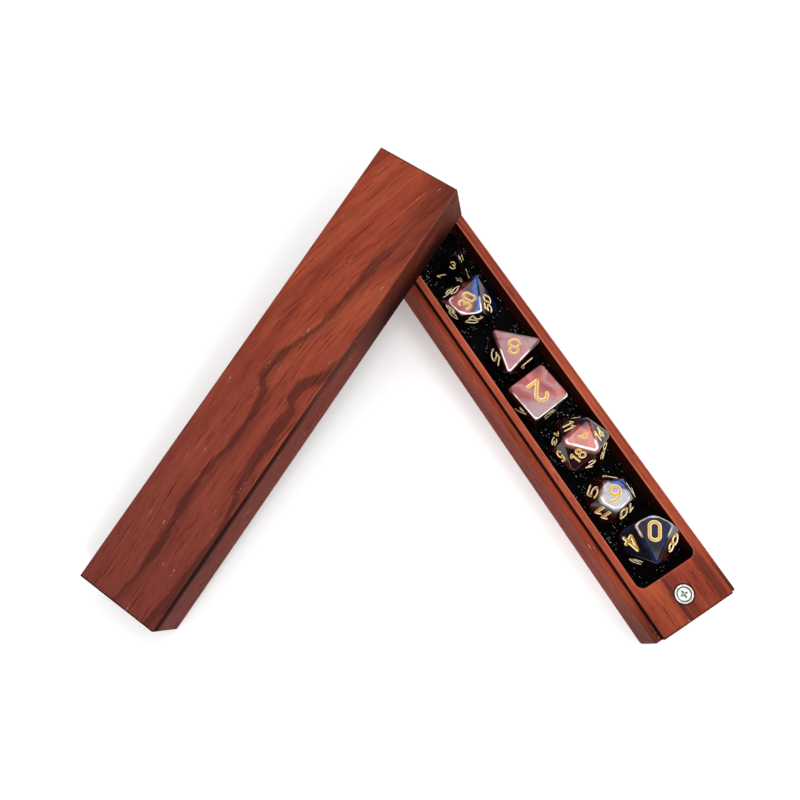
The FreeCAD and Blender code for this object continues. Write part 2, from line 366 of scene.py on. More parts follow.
def end_grain(m, along):
    """Both ends of a block, where the open grain drinks the oil and goes dark."""
    out = m.absolute(m.minus(along, 0.5))
    return m.fade(out, 0.5 - END_GRAIN_STARTS / BOX_LENGTH, 0.5 - END_GRAIN_FULL / BOX_LENGTH,
                  0.0, 0.8)


def finish_wood(m, shader, out):
    """Oiled wood, which hardly shines."""
    m.give(shader, {"Base Color": out["Color"], "Roughness": out["Roughness"],
                    "Normal": m.bump(out["Height"], 0.5, 0.12), "Specular IOR Level": 0.04})


# Figure of the lid's top: share of its length from the far end, then share of its
# width from the edge away from the tray.
GRAIN_SWEEP = [(0, 0.0), (0.15, 0.24), (0.3, 0.43), (0.45, 0.53), (0.6, 0.56), (0.8, 0.57), (1, 0.53)]
MAIN_VEIN = [(0, 0.86), (0.13, 0.82), (0.19, 0.74), (0.29, 0.66), (0.35, 0.62), (0.40, 0.53),
             (0.46, 0.43), (0.5, 0.41), (0.525, 0.51), (0.57, 0.545), (0.62, 0.55), (0.70, 0.485),
             (0.76, 0.475), (0.84, 0.52), (0.90, 0.52), (1, 0.46)]
EDGE_VEIN = [(0, 1.0), (0.42, 1.0), (0.455, 0.9), (0.5, 0.79), (0.53, 0.88), (0.60, 0.86),
             (0.68, 0.88), (0.74, 0.95), (0.8, 1.0), (0.92, 0.96), (1, 0.90)]


def lid_material(wood, lid_place):
    """Veined wood, duskier towards the near end and darkest on the tray side, where the darkness is
    painted shade.
    """
    material, m, shader = new_material("lid hardwood")
    local = piece_place(m, lid_place)
    x, y, z = m.split(local)
    along = share_along(m, x)
    side = m.fade(y, BOX_WIDTH / 2 - 0.45, BOX_WIDTH / 2 - 0.1)
    out = m.use(wood, {
        "Grain": lid_grain(m, local, along, x, y, z),
        # The tray side takes painted shade along with the veins.
        "Dark Wood And Shade": m.most(lid_veins(m, local, along, y, z), lid_side_painted_shade(m, along, side),
                       end_grain(m, along)),
        "Arris Highlight": lid_painted_arris_highlight(m, along, y, z),
        "Dusk": m.fade(along, 0.10, 1.0, 0.0, 0.85),
        "Deep": m.most(lid_side_shade(m, along, side, z), lid_near_arris_painted_shade(m, along, z)),
        "Bright": 1.0})
    finish_wood(m, shader, out)
    return material


def lid_grain(m, local, along, x, y, z):
    """Place along the lid's grain, which sweeps across the board."""
    sweep = m.times(m.curve(along, GRAIN_SWEEP), BOX_WIDTH)
    waver = drift(m, m.noise(m.stretch(local, (0.035, 0.08, 0.08)), detail=1.0))
    return m.join(x, m.plus(y, sweep, waver), z)


def lid_veins(m, local, along, y, z):
    """Heartwood veins, which lean a little as they go down into the wood."""
    ragged = drift(m, m.noise(m.stretch(local, (0.16, 0.7, 0.4)), detail=4.0, rough=0.65))
    lean = m.times(m.minus(LID_HEIGHT, z), 0.35)
    level = m.plus(y, BOX_WIDTH / 2, ragged, lean)
    swell = m.noise(m.stretch(local, (0.05, 0.05, 0.05), (8, 2, 6)), detail=2.0)
    main = vein_mask(m, along, level, MAIN_VEIN, m.fade(swell, 0.35, 0.7, 0.3, 2.6),
                     trail=6.0, strength=0.85)
    edge = vein_mask(m, along, level, EDGE_VEIN, m.fade(swell, 0.3, 0.65, 0.8, 3.0),
                     trail=5.0, strength=0.8)
    corner = m.times(m.fade(along, 0.0, 0.32, 1.0, 0.0), m.fade(level, 20, 33, 0.0, 0.7))
    return m.most(m.times(main, m.fade(along, 0.05, 0.22, 0.45, 1.0)), edge, corner)


def vein_mask(m, along, level, path, half_width, trail, strength):
    """Dark line along a path with a soft shadow on its lower side."""
    offset = m.minus(level, m.times(m.curve(along, path), BOX_WIDTH))
    core = m.fade(m.absolute(offset), m.times(half_width, 0.5), m.plus(half_width, 0.9), 1.0, 0.0)
    below = m.times(m.fade(offset, -0.4, 0.4), m.fade(offset, 0.5, trail, 0.55, 0.0))
    return m.times(m.most(core, below), strength)


def lid_painted_arris_highlight(m, along, y, z):
    """Arris on the tray side, lightened on the far half as a painted highlight."""
    line = m.times(m.hump(y, BOX_WIDTH / 2 - 0.35, 0.15, 0.35), m.hump(z, LID_HEIGHT - 0.35, 0.15, 0.4))
    return m.times(line, m.fade(along, 0.48, 0.54, 0.10, 0.0))


def lid_near_arris_painted_shade(m, along, z):
    """Upper arris of the near end, darkened as painted shade."""
    last = m.fade(along, 1 - 0.9 / BOX_LENGTH, 1 - 0.4 / BOX_LENGTH, 0.0, 0.8)
    return m.times(last, m.fade(z, LID_HEIGHT - 1.2, LID_HEIGHT - 0.8))


def lid_side_painted_shade(m, along, side):
    """Painted shade on the tray side, stronger at the far end, over the tray."""
    return m.times(side, m.fade(along, 0.30, 0.42, 0.55, 0.34))


def lid_side_shade(m, along, side, z):
    """Shade on the tray side: low down at the far end, under the arris at the near end."""
    under = m.times(m.fade(z, LID_HEIGHT - 6.0, LID_HEIGHT - 1.8), m.fade(along, 0.28, 0.60, 0.0, 0.88))
    low = m.times(m.fade(z, 3.0, LID_HEIGHT - 1.0, 0.85, 0.0), m.fade(along, 0.24, 0.40, 1.0, 0.0),
                  m.fade(along, 0.0, 0.09, 0.15, 1.0))
    return m.times(side, m.most(under, low))


def tray_material(wood):
    """Plainer wood, darker in the near end block, at -X."""
    material, m, shader = new_material("tray hardwood")
    local = piece_place(m)
    x, y, z = m.split(local)
    side = m.absolute(y)
    pocket = pocket_distance(m, x, side)
    grain = tray_grain(m, local, x, y, z)
    out = m.use(wood, {
        "Grain": grain,
        "Dark Wood And Shade": m.most(tray_streaks(m, grain), tray_painted_side_shade(m, x, side), end_streaks(m, x, y),
                       end_grain(m, share_along(m, x))),
        "Arris Highlight": tray_painted_arris_highlight(m, x, z, side, pocket),
        "Dusk": 0.0,
        "Deep": tray_shade(m, x, y, z, side, pocket),
        "Bright": m.fade(x, -90.0, -76.0, 0.84, 1.15)})
    finish_wood(m, shader, out)
    return material


def tray_grain(m, local, x, y, z):
    """Place along the tray's grain, from another part of the board than the lid's."""
    waver = drift(m, m.noise(m.stretch(local, (0.035, 0.12, 0.12), (5, 5, 5)), detail=2.0))
    return m.join(m.plus(x, TRAY_BOARD), m.plus(y, waver), m.plus(z, waver))


def tray_streaks(m, grain):
    """Faint dark streaks all along the tray."""
    streak = m.noise(m.stretch(grain, (0.010, 0.42, 0.42), (3, 1, 9)), rough=0.6)
    return m.fade(streak, 0.62, 0.70, 0.0, 0.5)


def tray_painted_side_shade(m, x, side):
    """Painted shade on the flanks and shoulders, darkest towards the near end."""
    flank = m.times(m.fade(side, BOX_WIDTH / 2 - 0.5, BOX_WIDTH / 2 - 0.15),
                    m.fade(x, -96.0, -66.0, 0.55, 0.15))
    shoulder = m.times(m.fade(side, TONGUE_WIDTH / 2, TONGUE_WIDTH / 2 + 0.3),
                       m.fade(x, -96.0, -78.0, 0.75, 0.0))
    return m.most(flank, shoulder)


def end_streaks(m, x, y):
    """Three dark streaks that run through the near end block."""
    thin = m.times(m.hump(y, 3.1, 0.45, 0.9), 0.9)
    broad = m.times(m.hump(y, 1.2, 1.8, 1.8), 0.55)
    outer = m.times(m.hump(y, -11.6, 0.9, 1.8), 0.7)
    return m.times(m.most(thin, broad, outer), m.fade(x, -82.0, -70.0, 1.0, 0.0))


def tray_painted_arris_highlight(m, x, z, side, pocket):
    """Painted highlight on the arris round the pocket and, fainter, along the tongue."""
    top = m.hump(z, TONGUE_TOP - 0.2, 0.12, 0.3)
    lines = m.most(m.hump(pocket, 0.2, 0.1, 0.25),
                   m.times(m.hump(side, TONGUE_WIDTH / 2 - 0.25, 0.1, 0.3), 0.25))
    return m.times(top, lines, m.fade(x, -82.0, -60.0, 0.2, 0.5))


def tray_shade(m, x, y, z, side, pocket):
    """Pocket walls, foot of the tongue and magnet seats, which light hardly reaches."""
    inside = m.times(m.fade(pocket, 0.05, 0.2, 0.85, 0.0),
                     m.fade(z, TONGUE_TOP - 1.0, TONGUE_TOP - 0.5, 1.0, 0.0))
    foot = m.times(m.hump(side, TONGUE_WIDTH / 2 + 0.05, 0.1, 0.15),
                   m.fade(z, TONGUE_TOP - 0.9, TONGUE_TOP - 0.5, 0.95, 0.0))
    seat = m.fade(magnet_distance(m, x, y)[1], MAGNET_SEAT - 0.05, MAGNET_SEAT + 0.2, 1.0, 0.0)
    return m.most(inside, foot, seat)


def pocket_distance(m, x, side):
    """Distance outward from the pocket's wall, less than nothing inside it."""
    across = m.minus(m.absolute(x), POCKET_LENGTH / 2 - POCKET_CORNER)
    beside = m.minus(side, POCKET_WIDTH / 2 - POCKET_CORNER)
    round_part = m.distance(m.most(across, 0.0), m.most(beside, 0.0))
    flat_part = m.math("MINIMUM", m.most(across, beside), 0.0)
    return m.minus(m.plus(round_part, flat_part), POCKET_CORNER)


# ---------------------------------------------------------------- felt

def felt_material():
    """Black felt: matted fibres, a soft sheen and pale lint in drifts."""
    material, m, shader = new_material("black felt")
    local = piece_place(m)
    fibres = m.noise(local, 2.6, detail=6.0, rough=0.75, bend=1.2)
    clouds = m.noise(local, 0.22, detail=2.0)
    elsewhere = m.stretch(local, (1, 1, 1), (9, 4, 2))
    fine = lint(m, local, scale=1.45, speck=(0.13, 0.26), channel=0, kept=(0.40, 0.50),
                gather=0.16, edge=(0.51, 0.60), stray=0.02)
    coarse = lint(m, elsewhere, scale=0.85, speck=(0.11, 0.22), channel=1, kept=(0.45, 0.50),
                  gather=0.13, edge=(0.50, 0.58), stray=0.0)
    matted = m.mix(m.fade(fibres, 0.3, 0.8), "040304", "0e0b0e")
    m.give(shader, {"Base Color": m.mix(m.most(m.times(fine, 0.8), coarse), matted, "dcdfe6"),
                    "Roughness": m.fade(clouds, 0.3, 0.7, 0.85, 1.0),
                    "Normal": m.bump(fibres, 0.8, 0.25),
                    "Specular IOR Level": 0.08, "Sheen Weight": 0.015, "Sheen Roughness": 0.5})
    return material


def lint(m, place, scale, speck, channel, kept, gather, edge, stray):
    """Specks in some cells of a scatter, thick in drifts.

    Scale is the number of cells to a millimetre, and speck where a speck starts to
    fade and where it ends, in cells from its middle. A cell has a speck if its
    random colour is over kept in that channel. Gather and edge say how fine the
    drifts are and where they begin, and stray how much lint lies outside them.
    """
    cells = m.add("ShaderNodeTexVoronoi", {"Vector": place, "Scale": scale, "Randomness": 1.0})
    pick = m.split(cells.node.outputs["Color"])[channel]
    drifts = m.fade(m.noise(place, gather, detail=1.0), *edge, stray, 1.0)
    return m.times(m.fade(cells, *speck, 1.0, 0.0), m.fade(pick, *kept), drifts)


# ---------------------------------------------------------------- metal

# Radius of the gap round a screw's head, and those where a ring's rounded rim starts
# to darken and is darkest; the gap and the rim are darkened as painted shade.
SINK_GAP = 2.52
RIM_STARTS = 3.28
RIM_DARK = 3.42
# Half width and length of an arm of the cross recess.
CROSS_ARM = 0.32
CROSS_REACH = 1.15
TOOL_MARKS = 14.0    # to a millimetre


def metal_group():
    """Turned metal round a magnet's middle, darkened as painted shade in the gap round its screw's
    head, at its rim and in the cross recess.
    """
    m, given, result = group(
        "turned metal", {"Place": "Vector", "Light": "Color", "Dark": "Color", "Satin": "Float"},
        {"Color": "Color", **floats("Height", "Roughness")})
    x, y, z = m.split(given["Place"])
    across, radius = magnet_distance(m, x, y)
    arms = m.most(m.hump(across, 0, CROSS_ARM, 0.12), m.hump(y, 0, CROSS_ARM, 0.12))
    recess = m.times(arms, m.fade(radius, CROSS_REACH, CROSS_REACH + 0.15, 1.0, 0.0))
    painted_shade = m.most(m.hump(radius, SINK_GAP, 0.16, 0.14), m.fade(radius, RIM_STARTS, RIM_DARK),
                  m.times(recess, 0.65))
    smudge = m.noise(given["Place"], 0.7, rough=0.6)
    base = m.mix(m.fade(smudge, 0.40, 0.70, 0.0, 0.6), given["Light"], given["Dark"])
    # Painted shade in the gap, at the rim and in the cross recess.
    m.give(result, {
        "Color": m.mix(m.times(painted_shade, 0.9), base, "1c1a18"),
        "Height": m.noise(m.join(m.times(radius, TOOL_MARKS), 0, 0), detail=2.0),
        "Roughness": m.fade(smudge, 0.3, 0.7, given["Satin"], m.plus(given["Satin"], 0.12))})
    return m.tree


def metal_material(name, metal, light, dark, satin, standing):
    """Smudged plate or steel, which is the duller the more satin it is."""
    material, m, shader = new_material(name)
    out = m.use(metal, {"Place": piece_place(m, standing), "Light": light, "Dark": dark,
                        "Satin": satin})
    m.give(shader, {"Base Color": out["Color"], "Roughness": out["Roughness"], "Metallic": 0.65,
                    "Normal": m.bump(out["Height"], 0.08, 0.03)})
    return material


# ---------------------------------------------------------------- dice: form

# Height of a ring corner of a ten-sided die whose pole is 1 high.
RING_RISE = math.tan(math.radians(18)) ** 2

# A line shorter than the first has no length. A corner nearer than the second is on a side.
NO_LENGTH = 1e-6
ON_SIDE = 1e-4

EDGE_STEPS = 4
LARGE_SIDE = 5.0     # in square millimetres
CRISP_ANGLE = 32
FLAT_WEIGHT = 80     # how much more a large face counts in the shading than a small one


def cube_corners():
    return [Vector(p) for p in itertools.product((-1, 1), repeat=3)]


def four_corners():
    return [Vector(p) for p in ((1, 1, 1), (1, -1, -1), (-1, 1, -1), (-1, -1, 1))]


def eight_corners():
    return [Vector(p) for p in ((1, 0, 0), (-1, 0, 0), (0, 1, 0), (0, -1, 0), (0, 0, 1), (0, 0, -1))]


def ten_corners():
    ring = [(math.cos(k * math.pi / 5), math.sin(k * math.pi / 5), RING_RISE if k % 2 else -RING_RISE)
            for k in range(10)]
    return [Vector(p) for p in [(0, 0, 1), (0, 0, -1)] + ring]


def twelve_corners():
    corners = cube_corners()
    for a, b in itertools.product((-1, 1), repeat=2):
        short, long = a / GOLDEN, b * GOLDEN
        corners += [Vector((0, short, long)), Vector((short, long, 0)), Vector((long, 0, short))]
    return corners


def twenty_corners():
    corners = []
    for a, b in itertools.product((-1, 1), repeat=2):
        long = b * GOLDEN
        corners += [Vector((0, a, long)), Vector((a, long, 0)), Vector((long, 0, a))]
    return corners


def stand(corners, bottom, size, turn):
    """Corners of a die of that size, standing on the side that bottom points to."""
    tip = Vector(bottom).rotation_difference(-UP)
    corners = [tip @ p for p in corners]
    low = min(p.z for p in corners)
    scale = size / (max(p.z for p in corners) - low)
    lift = Vector((0, 0, -low * scale))
    spin = Matrix.Rotation(math.radians(turn), 3, "Z")
    return [spin @ (p * scale + lift) for p in corners]


def outward_normals(corners):
    """The normal of each side of a convex die, by the numbers of the corners on it."""
    middle = sum(corners, Vector()) / len(corners)
    found = {}
    for a, b, c in itertools.combinations(corners, 3):
        normal = (b - a).cross(c - a)
        if normal.length < NO_LENGTH:
            continue
        normal.normalize()
        if normal.dot(a - middle) < 0:
            normal.negate()
        if max(normal.dot(p - a) for p in corners) < ON_SIDE:
            key = tuple(i for i, p in enumerate(corners) if abs(normal.dot(p - a)) < ON_SIDE)
            found[key] = normal
    return found


def flat_sides(corners):
    """Sides of a convex die as (outward normal, centre, corners going round it).

    They run from the top side down, and round the upright axis at each level.
    Each starts at its highest corner.
    """
    sides = []
    for key, normal in outward_normals(corners).items():
        points = [corners[i] for i in key]
        centre = sum(points, Vector()) / len(points)
        u = (points[0] - centre).normalized()
        w = normal.cross(u)
        points.sort(key=lambda p: math.atan2((p - centre).dot(w), (p - centre).dot(u)))
        first = min(points, key=lambda p: (-round(p.z, 2), bearing(p - centre)))
        start = points.index(first)
        sides.append((normal, centre, points[start:] + points[:start]))
    sides.sort(key=lambda side: (-round(side[0].z, 4), bearing(side[0])))
    return sides


def bearing(v):
    """Angle about the upright axis, from 0 to 360."""
    return round(math.degrees(math.atan2(v.y, v.x)) % 360, 1)


def die_body(corners, tip_ease):
    """Solid die with its tips tumbled down and every edge rounded."""
    mesh = bmesh.new()
    for p in corners:
        mesh.verts.new(p)
    bmesh.ops.convex_hull(mesh, input=mesh.verts)
    bmesh.ops.dissolve_limit(mesh, angle_limit=0.01, verts=mesh.verts, edges=mesh.edges)
    middle = sum(corners, Vector()) / len(corners)
    reach = max((p - middle).length for p in corners) - tip_ease
    for p in corners:
        arm = (p - middle).normalized()
        if (p - middle).length > reach:
            take_off(mesh, middle + arm * reach, arm)
    bmesh.ops.bevel(mesh, geom=list(mesh.edges) + list(mesh.verts), offset=EDGE_ROUND,
                    segments=EDGE_STEPS, profile=0.5, affect="EDGES", clamp_overlap=True)
    fan_out(mesh)
    return mesh


def take_off(mesh, place, outward):
    """Cuts off what lies beyond a plane and closes the hole."""
    everything = list(mesh.verts) + list(mesh.edges) + list(mesh.faces)
    cut = bmesh.ops.bisect_plane(mesh, geom=everything, plane_co=place, plane_no=outward,
                                 clear_outer=True)
    rim = [item for item in cut["geom_cut"] if isinstance(item, bmesh.types.BMEdge)]
    bmesh.ops.edgeloop_fill(mesh, edges=rim)


def fan_out(mesh):
    """Splits each large side from its middle, so that no numeral leaves a side with a hole in it."""
    bmesh.ops.poke(mesh, faces=[side for side in mesh.faces if side.calc_area() > LARGE_SIDE])


def mesh_object(name, mesh, materials):
    data = bpy.data.meshes.new(name)
    mesh.to_mesh(data)
    mesh.free()
    for material in materials:
        data.materials.append(material)
    piece = bpy.data.objects.new(name, data)
    bpy.context.scene.collection.objects.link(piece)
    return piece


def bridge(mesh, a, b):
    """Faces between two closed rings of as many points."""
    following = [(k + 1) % len(a) for k in range(len(a))]
    return [mesh.faces.new((a[k], a[j], b[j], b[k])) for k, j in enumerate(following)]


def soften(piece, angle):
    """Smooth shading that keeps large sides flat and edges sharper than the angle crisp."""
    mesh = bmesh.new()
    mesh.from_mesh(piece.data)
    for face in mesh.faces:
        face.smooth = True
    for edge in mesh.edges:
        edge.smooth = edge.calc_face_angle(0) < math.radians(angle)
    mesh.to_mesh(piece.data)
    mesh.free()
    weigh = piece.modifiers.new("flat sides", "WEIGHTED_NORMAL")
    weigh.keep_sharp = True
    weigh.weight = FLAT_WEIGHT
    apply_modifiers(piece)


def apply_modifiers(piece):
    graph = bpy.context.evaluated_depsgraph_get()
    data = bpy.data.meshes.new_from_object(piece.evaluated_get(graph))
    piece.modifiers.clear()
    old = piece.data
    piece.data = data
    bpy.data.meshes.remove(old)


# ---------------------------------------------------------------- dice: numerals

def arc(x, y, across, tall, start, stop, steps=12):
    """Points of an arc, with angles from the right-hand side."""
    angles = [math.radians(start + (stop - start) * i / steps) for i in range(steps + 1)]
    return [(x + across * math.cos(a), y + tall * math.sin(a)) for a in angles]


# Strokes of each numeral in a cell 1 high, centred on x = 0 and standing on y = 0.
STROKES = {
    "0": [arc(0, 0.76, 0.27, 0.24, 0, 180) + arc(0, 0.24, 0.27, 0.24, 180, 360) + [(0.27, 0.76)]],
    "1": [[(-0.17, 0.80), (0.06, 1.0)], [(0.06, 1.0), (0.06, 0.0)]],
    "2": [arc(0, 0.72, 0.27, 0.28, 165, -25) + [(-0.28, 0.0)], [(-0.28, 0.0), (0.29, 0.0)]],
    "3": [arc(0, 0.76, 0.24, 0.24, 160, -80), arc(0, 0.27, 0.28, 0.27, 85, -160)],
    "4": [[(0.10, 0.0), (0.10, 1.0)], [(0.10, 1.0), (-0.30, 0.28)], [(-0.30, 0.28), (0.30, 0.28)]],
    "5": [[(0.24, 1.0), (-0.20, 1.0)], [(-0.20, 1.0), (-0.24, 0.56)],
          arc(-0.02, 0.31, 0.29, 0.31, 135, -145)],
    "6": [arc(0, 0.28, 0.27, 0.28, 0, 360, 16), arc(0.27, 0.28, 0.54, 0.72, 180, 95, 8)],
    "7": [[(-0.27, 1.0), (0.27, 1.0)], [(0.27, 1.0), (-0.08, 0.0)]],
    "8": [arc(0, 0.77, 0.22, 0.23, 0, 360, 16), arc(0, 0.27, 0.27, 0.27, 0, 360, 16)],
    "9": [arc(0, 0.72, 0.27, 0.28, 0, 360, 16), arc(-0.27, 0.72, 0.54, 0.72, 0, -85, 8)],
}
# Width of a numeral with its room, as a share of its height.
WIDTH = 0.80
NARROW_WIDTH = {"1": 0.55}

# Angles round a stroke's cutter. Those past half a turn lie in the resin, and the
# faces from the fifth to the seventh angle make the groove's floor.
GROOVE_PROFILE = [math.radians(angle) for angle in (0, 60, 120, 180, 235, 270, 305)]
GROOVE_FLOOR = (4, 5)
# Past a stroke's end, in widths of the stroke, and the share of its section left there.
ROUND_END = [(0.5, 0.35), (0.42, 0.62), (0.26, 0.87)]
# Materials of a die after its resin, which is its material 0.
FLOOR_PAINT = 1
# The groove walls take a paler gold, a painted highlight.
WALL_HIGHLIGHT_PAINT = 2


def numeral_lines(label, height, wide):
    """Lines of a label, centred on the origin."""
    widths = [NARROW_WIDTH.get(c, WIDTH) * height * wide for c in label]
    x = -sum(widths) / 2
    lines = []
    for c, width in zip(label, widths):
        middle = x + width / 2
        for stroke in STROKES[c]:
            lines.append([(middle + px * height * wide, (py - 0.5) * height) for px, py in stroke])
        x += width
    return lines


def groove_stations(line, width):
    """Stations along a stroke as (place, heading, share of its section), and if it closes."""
    closed = len(line) > 2 and math.dist(line[0], line[-1]) < NO_LENGTH
    points = [Vector((x, y, 0)) for x, y in (line[:-1] if closed else line)]
    found = []
    for i, p in enumerate(points):
        before = points[i - 1] if closed or i else p
        after = points[(i + 1) % len(points)] if closed or i + 1 < len(points) else p
        found.append((p, (after - before).normalized(), 1.0))
    if not closed:
        found = round_end(found[0], -1, width) + found + round_end(found[-1], 1, width)[::-1]
    return found, closed


def round_end(station, way, width):
    """Shrinking stations past the end of a stroke."""
    centre, heading, _ = station
    return [(centre + heading * (way * width * past), heading, share) for past, share in ROUND_END]


def groove_ring(mesh, station, width, depth, place):
    centre, heading, share = station
    across = Vector((heading.y, -heading.x, 0)) * (width / 2 * share)
    ring = []
    for angle in GROOVE_PROFILE:
        offset = across * math.cos(angle) + UP * (depth * share * math.sin(angle))
        ring.append(mesh.verts.new(place @ (centre + offset)))
    return ring


def add_groove(mesh, line, width, depth, place):
    """Closed round-ended bead along a line, as wide as the groove it cuts."""
    stations, closed = groove_stations(line, width)
    rings = [groove_ring(mesh, station, width, depth, place) for station in stations]
    for a, b in zip(rings, rings[1:] + ([rings[0]] if closed else [])):
        for k, face in enumerate(bridge(mesh, a, b)):
            face.material_index = FLOOR_PAINT if k in GROOVE_FLOOR else WALL_HIGHLIGHT_PAINT
    if not closed:
        for cap in (rings[0][::-1], rings[-1]):
            mesh.faces.new(cap).material_index = WALL_HIGHLIGHT_PAINT


def side_place(side, turn, spin=0):
    """Places a numeral's plane on a side, its top turned from the side's first corner.

    With no turn given, spin is the turn from the corner farthest from the side's middle.
    """
    normal, centre, points = side
    corner = points[0]
    if turn is None:
        corner = max(points, key=lambda p: round((p - centre).length, 2))
        turn = spin
    toward = (corner - centre).normalized()
    upright = Matrix.Rotation(math.radians(turn), 3, normal) @ toward
    right = upright.cross(normal)
    basis = Matrix((right, upright, normal)).transposed().to_4x4()
    return Matrix.Translation(centre) @ basis


def marks_on_side(side, label, turn, facts):
    """What is written on a side, as (label, place of its plane)."""
    if not facts["out"]:
        return [(label, side_place(side, turn, facts["spin"]))]
    step = 360 / len(label)
    out = Matrix.Translation((0, facts["out"], 0))
    return [(mark, side_place(side, step * i) @ out) for i, mark in enumerate(label)]


def strokes(facts, sides):
    """Every stroke of a die's numerals as (line, place of its plane)."""
    found = []
    for side, (label, turn) in zip(sides, facts["labels"]):
        for mark, place in marks_on_side(side, label, turn, facts):
            height = facts["height"] * (facts["pair"] if len(mark) > 1 else 1.0)
            found += [(line, place) for line in numeral_lines(mark, height, facts["wide"])]
    return found


def cutters(name, facts, sides, materials):
    """A collection with one cutter for each stroke."""
    found = bpy.data.collections.new(name + "_strokes")
    for line, place in strokes(facts, sides):
        mesh = bmesh.new()
        add_groove(mesh, line, facts["stroke"], facts["deep"], place)
        bmesh.ops.recalc_face_normals(mesh, faces=mesh.faces)
        cutter = mesh_object(name + "_stroke", mesh, materials)
        bpy.context.scene.collection.objects.unlink(cutter)
        found.objects.link(cutter)
    return found


def engrave(die, tools):
    """Cuts every stroke out of a die and clears the cutters away."""
    cut = die.modifiers.new("numerals", "BOOLEAN")
    cut.operation = "DIFFERENCE"
    cut.solver = "MANIFOLD"
    cut.operand_type = "COLLECTION"
    cut.collection = tools
    apply_modifiers(die)
    for cutter in list(tools.objects):
        data = cutter.data
        bpy.data.objects.remove(cutter)
        bpy.data.meshes.remove(data)
    bpy.data.collections.remove(tools)


# ---------------------------------------------------------------- dice: the set

# What is known of each die:
#   corners, bottom   its form, and the way to the side that it stands on
#   size, ease        its height, and what tumbling takes off its tips
#   place, turn       where it lies along and across the pocket, and its turn
#   labels            numeral and its turn for each side, from the top side down
#   spin              turn of the labels that give none
#   height, wide      a numeral's height, and its width against the usual one
#   pair              height of a label of two numerals against that of one
#   stroke, deep      width and depth of the grooves
#   out               for a numeral at each corner of a side, the way out to it
#   warm              how the swirl turns pink across the pocket's X and Y, and overall
#   shift             which part of the pour the die has
#   pearl, night      how pearly and light its top side is, the pearl real and its
#                     keeping to the top side painted light, and how black the rest
#   sheen_veil,       how strong the painted sheen on the top side is, how far aside
#   sheen_cloud       of its middle it begins and is whole, and the painted sheen's colour
#   edge_glint,       how strong the painted glints on its upper edges are, and on
#   glint_side        which side, 1 or -1
SHARED = dict(ease=0.7, spin=0, pair=1.0, deep=0.38, out=0, sheen_veil=(0.0, 0, 1), sheen_cloud="937b7e",
              glint_side=1)
